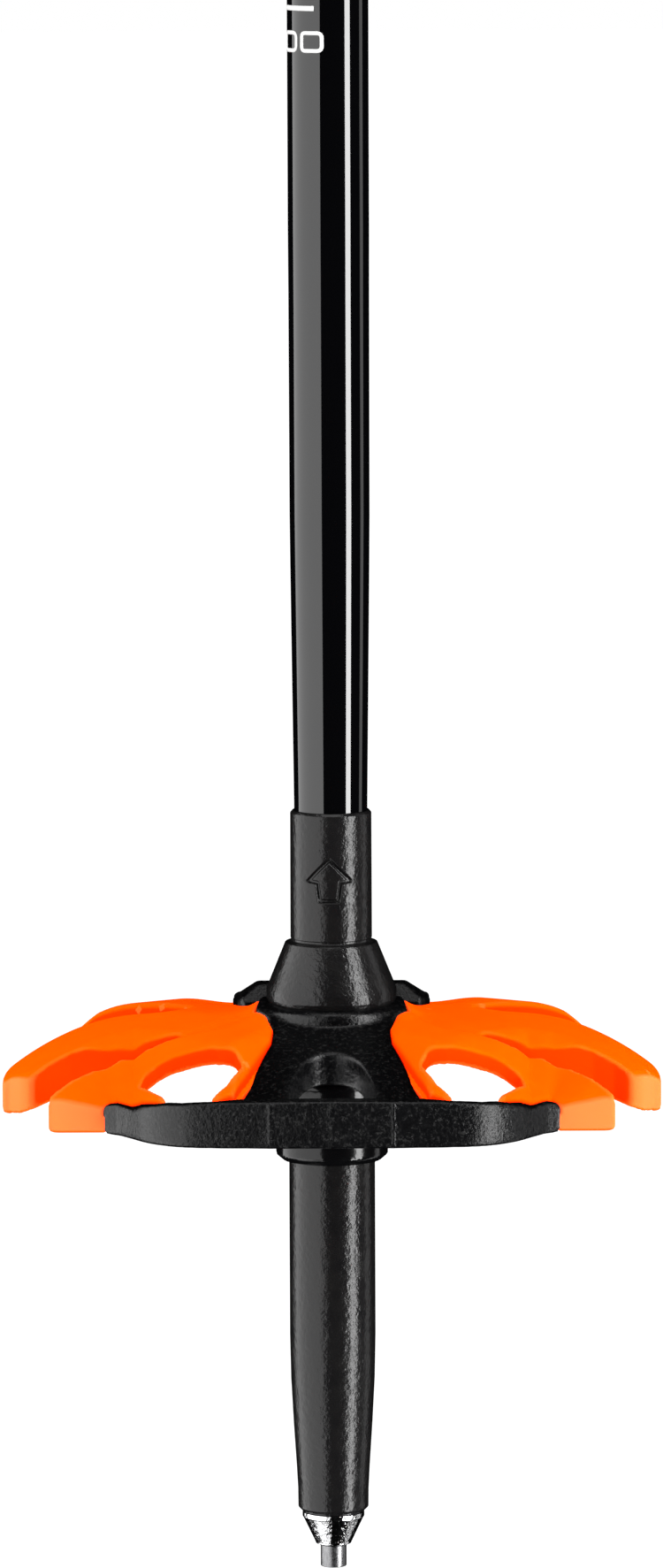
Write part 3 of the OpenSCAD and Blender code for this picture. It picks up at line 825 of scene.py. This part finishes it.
def basket_core():
    lo = [-35, -38, 60.5]
    hi = [35, RIM_R + 1, 87.5]
    verts, faces = field_mesh(core_field, lo, hi, 0.42)
    new_piece("hub_and_band", verts, faces, basket_black(), "basket", ["basket_core"])


# ---------------------------------------------------------------- upper section

def soft_box(x, y, z, lo, hi, r):
    """Signed distance to a box with rounded edges, given its corners."""
    out, deep = 0.0, -1e9
    for v, a, b in zip((x, y, z), lo, hi):
        q = np.abs(v - (a + b) / 2) - (b - a) / 2 + r
        out = out + np.maximum(q, 0) ** 2
        deep = np.maximum(deep, q)
    return np.sqrt(out) + np.minimum(deep, 0) - r


def upper_tube():
    rows = profile("upper_tube")
    hole = bore("upper_tube")
    rows = [(hole, rows[0][1])] + rows + [(hole, rows[-1][1])]
    verts, faces = lathe(fillet(rows, 0.3), turn(160), hollow=True)
    new_piece("upper_tube_shell", verts, faces, upper_paint(), "upper_section", ["upper_tube"])


CLAMP_LO, CLAMP_HI = box("clamp_collar")
CLAMP_R = -CLAMP_LO[0]
SCREW_X, CLAMP_MID = np.mean(box("clamp_screw"), axis=0)[[0, 2]]
PIN_LO, PIN_HI = box("lever_pin")
PIN_Y = (PIN_LO[1] + PIN_HI[1]) / 2
PIN_R = (PIN_HI[1] - PIN_LO[1]) / 2
LEVER_LO, LEVER_HI = box("clamp_lever")
LUG_Z = LEVER_LO[2], LEVER_HI[2]
TUBE_R = box("lower_tube")[1][0]
SOCKET_R = box("upper_tube")[1][0]
SOCKET_Z = box("upper_tube")[0][2]


def collar_field(x, y, z):
    rho = np.hypot(x, y)
    z0, z1, r = CLAMP_LO[2], CLAMP_HI[2], CLAMP_R
    side = [(-9, z0), (r - 1.1, z0), (r, z0 + 1.3), (r, z1 - 3), (r - 1.6, z1), (-9, z1)]
    body = smax(inside(rho, z, side), -9, 0.01)
    lug = soft_box(x, y, z, (6, -5, LUG_Z[0]), (CLAMP_HI[0], 5, LUG_Z[1]), 1.6)
    body = smin(body, lug, 1.0)
    around = np.degrees(np.arctan2(x, -y))
    panel = np.maximum(np.abs(around) - 38, np.abs(z - CLAMP_MID) - 9) * 0.16
    body = body + 0.35 * ramp(0.25, -0.25, panel) * ramp(r - 1.5, r - 0.5, rho)
    for groove_z in (z0 + 3.2, z0 + 4.7):
        body = body + 0.18 * np.exp(-((z - groove_z) / 0.28) ** 2) * ramp(r - 1, r - 0.3, rho)
    body = smax(body, TUBE_R + 0.05 - rho, 0.3)
    body = smax(body, -np.maximum(rho - SOCKET_R, SOCKET_Z - z), 0.3)
    slit = np.maximum(np.maximum(np.abs(y) - 0.6, 2 - x), z - LUG_Z[1] - 1)
    relief = np.maximum(np.maximum(np.abs(y) - 5.6, 2 - x), np.abs(z - LUG_Z[1] - 0.5) - 0.5)
    body = smax(smax(body, -slit, 0.25), -relief, 0.25)
    return smax(body, 2.1 - np.hypot(x - SCREW_X, z - CLAMP_MID), 0.4)


def lever_field(x, y, z):
    rho = np.hypot(x, y)
    cam_r = LEVER_HI[1] - PIN_Y
    inner, outer = CLAMP_R + 0.9, CLAMP_R + 3.7
    cam = np.hypot(x - SCREW_X, y - PIN_Y) - cam_r
    neck = inside(x, y, [(SCREW_X + 0.3, PIN_Y + cam_r), (1.5, outer), (-2, outer - 0.3), (-2, inner + 0.1),
                         (1.5, inner), (SCREW_X - 3.4, PIN_Y - 0.3)])
    angle = np.degrees(np.arctan2(y, x)) % 360
    past = np.maximum(85 - angle, angle - 200) * math.radians(1) * (inner + 1.4)
    past = np.where(angle > 320, 40, past)
    ring = smax(np.maximum(inner - rho, rho - outer), past, 1.2)
    plan = smin(smin(cam, neck, 0.6), ring, 0.8)
    mid = z - CLAMP_MID
    half = (LUG_Z[1] - LUG_Z[0]) / 2 - 2.2 * ramp(120, 195, angle) * ramp(9, 11, rho)
    arm = smax(plan, np.abs(mid) - half, 1.3)
    tab = inside(x, y, [(-10.6, -2.8), (-12.7, 0.5), (-13.3, -2), (-14.5, -6.2), (-13.3, -7.2), (-11.9, -5)])
    arm = smin(arm, smax(tab, np.abs(mid) - 6.5, 1.0), 1.2)
    panel = np.maximum(np.abs(angle - 128) - 22, (np.abs(mid) - 5.5) * 4) * 0.22
    arm = arm + 0.45 * ramp(0.3, -0.3, panel) * ramp(outer - 1.3, outer - 0.5, rho)
    for k in range(5):
        rib = np.exp(-((angle - 164 - 6.5 * k) * math.radians(1) * outer / 0.3) ** 2)
        arm = arm + 0.4 * rib * ramp(outer - 1.2, outer - 0.4, rho) * ramp(7, 6, np.abs(mid))
    arm = smax(arm, PIN_R + 0.05 - np.hypot(x - SCREW_X, y - PIN_Y), 0.3)
    fork = np.maximum(np.hypot(x - SCREW_X, y - PIN_Y) - cam_r - 2, np.abs(mid) - 3.5)
    return smax(arm, -fork, 0.5)


def clamp():
    step = 0.33
    verts, faces = field_mesh(collar_field, CLAMP_LO - 0.7, CLAMP_HI + 0.7, step)
    new_piece("collar_moulding", verts, faces, clamp_plastic(), "upper_section",
              ["clamp_collar"])
    verts, faces = field_mesh(lever_field, LEVER_LO - 0.8, LEVER_HI + 0.8, step)
    new_piece("lever_moulding", verts, faces, lever_orange(), "clamp_lever", ["clamp_lever"])


def foam_grip():
    lo, hi = box("extension_grip")
    rows = profile("extension_grip")
    z0, z1 = lo[2], hi[2]
    pitch, starts, end_ring = 15.0, 6, 5

    def dent(angle, z):
        s = z - z0
        zone = ramp(8, 11, s) * ramp(z1 - z0 - 8, z1 - z0 - 11, s)
        turns = angle * starts / (2 * math.pi)
        cut = 0.0
        for way in (1, -1):
            band = np.abs((s / pitch + way * turns) % 1 - 0.5)
            cut = np.maximum(cut, ramp(0.06, 0.02, band))
        ring = np.exp(-((s - end_ring) / 0.7) ** 2) + np.exp(-((z1 - z0 - end_ring - s) / 0.7) ** 2)
        return 0.75 * cut * zone + 0.6 * ring

    zs = np.linspace(z0 + 1.2, z1 - 1.2, 400)
    radii, heights = zip(*rows)
    outer = [(np.interp(z, heights, radii), z) for z in zs]
    ends = [(SOCKET_R, z0), (rows[0][0] - 0.2, z0), (rows[0][0] + 0.25, z0 + 0.5)]
    top = [(rows[-1][0] + 0.1, z1 - 0.5), (rows[-1][0] - 0.3, z1), (SOCKET_R, z1)]
    verts, faces = lathe(ends + outer + top, turn(240), dent, hollow=True)
    new_piece("foam_sleeve", verts, faces, foam(), "upper_section", ["extension_grip"])
    rows = profile("extension_collar")
    rows = [(SOCKET_R, rows[0][1])] + rows + [(SOCKET_R, rows[-1][1])]
    verts, faces = lathe(fillet(rows, 0.4), turn(160), hollow=True)
    new_piece("foam_end_ring", verts, faces, grip_hard(), "upper_section", ["extension_collar"])


def rubber_grip():
    lo, hi = box("grip_rubber")
    rows = profile("grip_rubber")
    z0, z1 = lo[2], hi[2]
    radii, heights = zip(*rows)
    radius, dot_step, dot_row, rib_step = 15, 3.0, 2.6, 2.4

    def dent(angle, z):
        s = z - z0
        sideways = np.sin(angle) ** 2
        front = np.clip(np.cos(angle), 0, 1)
        back = np.clip(-np.cos(angle), 0, 1)
        shape = 1.5 * sideways * ramp(6, 16, s) * ramp(112, 96, s)
        shape = shape - 0.7 * back * ramp(14, 30, s) * ramp(104, 60, s)
        seam = 0.5 * np.exp(-((np.abs(np.cos(angle)) * radius - 4.5) / 0.55) ** 2)
        seam = seam * ramp(11, 15, s) * ramp(110, 104, s)
        du = (angle * radius / dot_step + 0.5 * (np.floor(s / dot_row) % 2)) % 1 - 0.5
        dv = (s / dot_row) % 1 - 0.5
        dots = ramp(0.40, 0.26, np.hypot(du, dv * 0.87))
        panel = ramp(13, 16, s) * ramp(106, 102, s)
        palm = ramp(0.36, 0.44, back) * panel
        ribs = 0.5 + 0.5 * np.cos(s * 2 * math.pi / rib_step)
        fingers = ramp(0.36, 0.44, front) * panel
        return shape + seam + 0.32 * dots * palm + 0.38 * ribs * fingers

    zs = np.arange(z0 + 0.8, z1 - 0.05, 0.45)
    outer = [(np.interp(z, heights, radii), z) for z in zs]
    hole = bore("grip_rubber")
    rows = [(hole, z0), (radii[0] - 0.4, z0)] + outer + [(radii[-1] - 0.1, z1), (hole, z1)]
    verts, faces = lathe(rows, turn(260), dent, hollow=True)
    new_piece("grip_sleeve", verts, faces, grip_soft(), "upper_section", ["grip_rubber"])


CAP_LO, CAP_HI = box("grip_cap")
STRAP_Y, STRAP_Z = np.mean(box("strap_pin"), axis=0)[1:]
WEDGE_LO, WEDGE_HI = box("strap_wedge")
WEB_LO, WEB_HI = box("strap_webbing")
PAD_HI = box("strap_pad")[1]


def cap_field(x, y, z):
    rho = np.hypot(x, y)
    r, z0, z1 = CAP_HI[0], CAP_LO[2], CAP_HI[2]
    side = [(-9, z0), (r - 0.9, z0), (r, z0 + 4), (r, z1 - 12)]
    side += [(4 + (r - 4) * math.cos(t), z1 - 12 + 12 * math.sin(t)) for t in np.radians(range(8, 91, 8))]
    side += [(4, z1), (-9, z1)]
    cap = inside(rho, z, side)
    cap = cap + 0.4 * np.exp(-((z - z0 - 5.5) / 0.5) ** 2) * ramp(r - 1.5, r - 0.5, rho)
    cap = cap + 0.3 * np.exp(-((rho - 13.2) / 0.4) ** 2) * ramp(z1 - 6, z1 - 4, z)
    half = WEB_HI[0] + 0.5
    slot = soft_box(x, y, z, (-half, STRAP_Y - 5.5, z0 + 6), (half, 60, z1 + 30), 0.6)
    pocket = soft_box(x, y, z, (WEDGE_LO[0] - 0.2, WEDGE_LO[1] - 0.2, WEDGE_LO[2]),
                      (WEDGE_HI[0] + 0.2, WEDGE_HI[1] + 0.2, z1 + 30), 0.3)
    cap = smax(smax(cap, -slot, 0.6), -pocket, 0.4)
    return smax(cap, 2.0 - np.hypot(y - STRAP_Y, z - STRAP_Z), 0.2)


def wedge_field(x, y, z):
    lo, hi = WEDGE_LO, WEDGE_HI
    block = soft_box(x, y, z, lo, hi, 0.7)
    block = smax(block, z - (hi[2] - 0.012 * x * x), 0.4)
    lip = hi[1] + 0.6 - 1.6 * ramp(lo[2] + 13.5, lo[2] + 14.3, z) * ramp(lo[2] + 17.5, lo[2] + 16.7, z)
    block = smax(block, y - lip, 0.3)
    for k in (-1, 0, 1):
        rib = np.hypot((y - (lo[1] + hi[1]) / 2 - 1.9 * k) / 0.4, (z - hi[2]) / 0.5)
        block = block + 0.35 * np.exp(-rib ** 2) * ramp(6.4, 5.6, np.abs(x))
    return block


def cap_and_wedge():
    step = 0.42
    verts, faces = field_mesh(cap_field, CAP_LO - 0.8, CAP_HI + 0.8, step)
    new_piece("cap_moulding", verts, faces, grip_hard(), "upper_section", ["grip_cap"])
    verts, faces = field_mesh(wedge_field, WEDGE_LO - 0.8, WEDGE_HI + 0.8, step)
    new_piece("wedge_moulding", verts, faces, lever_orange(), "strap_wedge", ["strap_wedge"])


# ---------------------------------------------------------------- strap

LOOP_R = 22


def strap_path(inset):
    """Middle line of the hanging loop as (y, z): down from the pin, round the lower end and back up."""
    r = LOOP_R - inset
    loop_y = WEB_HI[1] - LOOP_R
    loop_z = WEB_LO[2] + LOOP_R
    down = [(19 + inset, STRAP_Z - 13 - inset), (loop_y - r, STRAP_Z - 45)]
    bend = [(loop_y + r * math.cos(t), loop_z + r * math.sin(t)) for t in np.radians(range(180, 361, 10))]
    back = [(loop_y + r * 0.92, loop_z + 50), (loop_y + r * 0.35, STRAP_Z - 50),
            (22 + 0.9 * inset, STRAP_Z - 6 - 3 * inset)]
    return down, bend, back


def sweep(path, half_width, section):
    """Verts and faces of a band along a path of (y, z). section(k) is a closed list of (across, out) at
    point k, with across from -1 to 1."""
    pts = np.array(path)
    ahead = np.gradient(pts, axis=0)
    ahead /= np.linalg.norm(ahead, axis=1)[:, None]
    normal = np.stack([-ahead[:, 1], ahead[:, 0]], axis=1)
    verts, faces = [], []
    m = len(section(0))
    for k, (p, n) in enumerate(zip(pts, normal)):
        for across, out in section(k):
            verts.append((across * half_width, p[0] + n[0] * out, p[1] + n[1] * out))
    for k in range(len(pts) - 1):
        for c in range(m):
            a, b = k * m + c, k * m + (c + 1) % m
            faces.append((a, b, b + m, a + m))
    faces.append(list(range(m))[::-1])
    faces.append([(len(pts) - 1) * m + c for c in range(m)])
    return verts, faces


def even(path, step):
    """The same line with points at an even spacing, and the distance of each along it."""
    pts = np.array(path)
    run = np.concatenate([[0], np.cumsum(np.linalg.norm(np.diff(pts, axis=0), axis=1))])
    at = np.linspace(0, run[-1], int(run[-1] / step) + 1)
    return np.stack([np.interp(at, run, pts[:, k]) for k in (0, 1)], axis=1), at


def band_section(t, seam):
    """Rounded flat section of thickness t, 1 across each way, with a stitched groove of depth seam."""
    side = []
    for face in (1, -1):
        for a in np.linspace(-1, 1, 40) * face:
            close = 1 - abs(a)
            h = t / 2 * min(1, (close / 0.03 + 0.15) ** 0.5 if close < 0.03 else 1)
            groove = seam * math.exp(-((abs(a) - 0.86) / 0.02) ** 2)
            side.append((a, face * (h - groove)))
    return side


def webbing_line():
    down, bend, back = strap_path(1.0)
    y0, z0 = STRAP_Y, STRAP_Z
    wrap_r = 3.05
    wrap = [(y0 + wrap_r * math.cos(t), z0 + wrap_r * math.sin(t)) for t in np.radians(range(-20, 201, 12))]
    line = wrap + [(y0 - 0.3, z0 - 6.3), (y0 + 4.2, z0 - 8.1)] + down + bend + back + [(y0 + 6.6, z0 - 2.4)]
    path = even(fillet(line, 14, steps=10), 0.8)[0]
    section = band_section(1.7, seam=0.18)
    verts, faces = sweep(path, WEB_HI[0], lambda k: section)
    new_piece("webbing_loop", verts, faces, webbing(), "strap", ["strap_webbing"])


def wrist_pad():
    down, bend, back = strap_path(3.5)
    top = PAD_HI[2]
    (end_y, end_z), (next_y, next_z) = bend[-1], back[0]
    last = (end_y + (next_y - end_y) * (top - end_z) / (next_z - end_z), top)
    path, run = even(fillet([(down[1][0], top)] + bend + [last], 10, steps=8), 0.8)
    channel, stitch, cross_step, depth = 0.36, 0.86, 18, 1.35

    def pad_section(k):
        s = run[k]
        end = min(s, run[-1] - s)
        taper = 0.25 + 0.75 * math.sqrt(min(1.0, end / 5.0))
        out = []
        for face in (1, -1):
            for a in np.linspace(-1, 1, 44) * face:
                puff = (1 - abs(a) ** 6) ** 0.5
                quilt = 0.35 * math.exp(-((abs(a) - channel) / 0.05) ** 2)
                quilt += 0.3 * math.exp(-((abs(a) - stitch) / 0.03) ** 2)
                cross = 0.3 * math.exp(-((s % cross_step - cross_step / 2) / 0.8) ** 2) * (abs(a) < channel)
                h = depth * taper * puff - (quilt + cross if face > 0 else 0) * taper
                out.append((a, face * h))
        return out

    verts, faces = sweep(path, PAD_HI[0], pad_section)
    new_piece("padded_lining", verts, faces, pad_fabric(), "strap", ["strap_pad"])


def refinish(node, material):
    """Gives a CAD node that stays in view its own material."""
    mesh = bpy.data.objects[node].data
    mesh.materials.clear()
    mesh.materials.append(material)


def small_parts():
    for node in ("clamp_screw", "clamp_washer", "lever_pin", "thrust_plate", "strap_pin"):
        refinish(node, screw_steel())
    for node in ("grip_core", "upper_plug", "lower_plug"):
        refinish(node, inner_plastic())
    refinish("guide_bush", bush_plastic())


# ---------------------------------------------------------------- studio

def emitter(name, centre, size, strength, aim):
    """A white rectangular lamp at centre, turned towards aim. Metres and watts."""
    light = bpy.data.lights.new(name, "AREA")
    light.shape = "RECTANGLE"
    light.size, light.size_y = size
    light.energy = strength
    lamp = bpy.data.objects.new(name, light)
    lamp.location = centre
    lamp.rotation_mode = "QUATERNION"
    lamp.rotation_quaternion = (Vector(aim) - Vector(centre)).to_track_quat("-Z", "Y")
    bpy.context.scene.collection.objects.link(lamp)


def around(angle, distance, height):
    """A place round the pole: angle in degrees from the front towards +X."""
    a = math.radians(angle)
    return (distance * math.sin(a), -distance * math.cos(a), height)


def lowest_reach():
    """Height of the point when the pole is drawn out to its longest, in metres."""
    slide = next(j for j in frame["record"]["behaviour"]["joints"] if j["name"] == "section_slide")
    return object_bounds()[0][2] - max(slide["range_m"])


def floor():
    """A plain white floor that fills shadows and is not mirrored in the object."""
    half, gap = 12.0, 0.0005
    mesh = bpy.data.meshes.new("floor")
    corners = [(x * half, y * half, 0) for x, y in ((-1, -1), (1, -1), (1, 1), (-1, 1))]
    mesh.from_pydata(corners, [], [(0, 1, 2, 3)])
    plane = bpy.data.objects.new("floor", mesh)
    plane.location.z = lowest_reach() - gap
    plane.visible_glossy = False
    plane.visible_shadow = False
    bpy.context.scene.collection.objects.link(plane)
    plane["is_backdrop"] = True
    white = Shader("floor_white")
    glow = white.node("Emission", {"Strength": 1.0})
    matte = white.node("BsdfDiffuse", {"Color": (0.1, 0.1, 0.1)})
    both = white.node("AddShader", {0: glow.outputs[0], 1: matte.outputs[0]})
    out = next(n for n in white.tree.nodes if n.type == "OUTPUT_MATERIAL")
    white.put(out.inputs["Surface"], both.outputs[0])
    white.tree.nodes.remove(white.bsdf)
    mesh.materials.append(white.material)


def world():
    """White behind the object, a soft fill on it, and nothing in its reflections."""
    sky = bpy.data.worlds.new("studio")
    bpy.context.scene.world = sky
    sky.use_nodes = True
    tree = sky.node_tree
    back = next(n for n in tree.nodes if n.type == "BACKGROUND")
    back.inputs["Color"].default_value = (1, 1, 1, 1)
    path = tree.nodes.new("ShaderNodeLightPath")
    fill = tree.nodes.new("ShaderNodeMapRange")
    fill.inputs["To Min"].default_value = 0.7
    fill.inputs["To Max"].default_value = 0.0
    tree.links.new(path.outputs["Is Glossy Ray"], fill.inputs["Value"])
    seen = tree.nodes.new("ShaderNodeMath")
    seen.operation = "MAXIMUM"
    tree.links.new(path.outputs["Is Camera Ray"], seen.inputs[0])
    tree.links.new(fill.outputs["Result"], seen.inputs[1])
    tree.links.new(seen.outputs[0], back.inputs["Strength"])


def lamps():
    point, middle = (0, 0, 0), (0, 0, 0.15)
    emitter("soft_left", around(-71.7, 1.2, 0.15), (2.76, 2.4), 125, middle)
    emitter("strip_right", around(57, 1.2, 0.15), (0.34, 2.4), 95, middle)
    emitter("edge_right", around(108, 1.2, 0.15), (0.3, 2.4), 5, middle)
    emitter("top", (0.0, -0.6, 2.2), (1.6, 1.6), 40, middle)
    emitter("bounce_left", around(-62, 0.7, -0.75), (0.9, 0.5), 6, point)
    emitter("bounce_right", around(103, 0.7, -0.7), (0.1, 0.5), 0.5, point)


def camera():
    """A long lens in front of the pole, a little above the basket and tilted down to it."""
    place = Matrix.Translation((0.00013, -1.3302, 0.2888))
    pitch, roll = 7.3, 0.226
    data = bpy.data.cameras.new("camera")
    data.lens = 207.1
    data.sensor_width = 36
    cam = bpy.data.objects.new("camera", data)
    tilt = Matrix.Rotation(math.radians(90 - pitch), 4, "X") @ Matrix.Rotation(math.radians(-roll), 4, "Z")
    cam.matrix_world = place @ tilt
    bpy.context.scene.collection.objects.link(cam)
    bpy.context.scene.camera = cam
    bpy.context.scene.view_settings.view_transform = "Standard"
    bpy.context.scene.view_settings.look = "None"


lower_tube()
scale_print()
tip_body()
ferrule_and_point()
basket_wings()
basket_core()
upper_tube()
clamp()
foam_grip()
rubber_grip()
cap_and_wedge()
webbing_line()
wrist_pad()
small_parts()
floor()
world()
lamps()
camera()
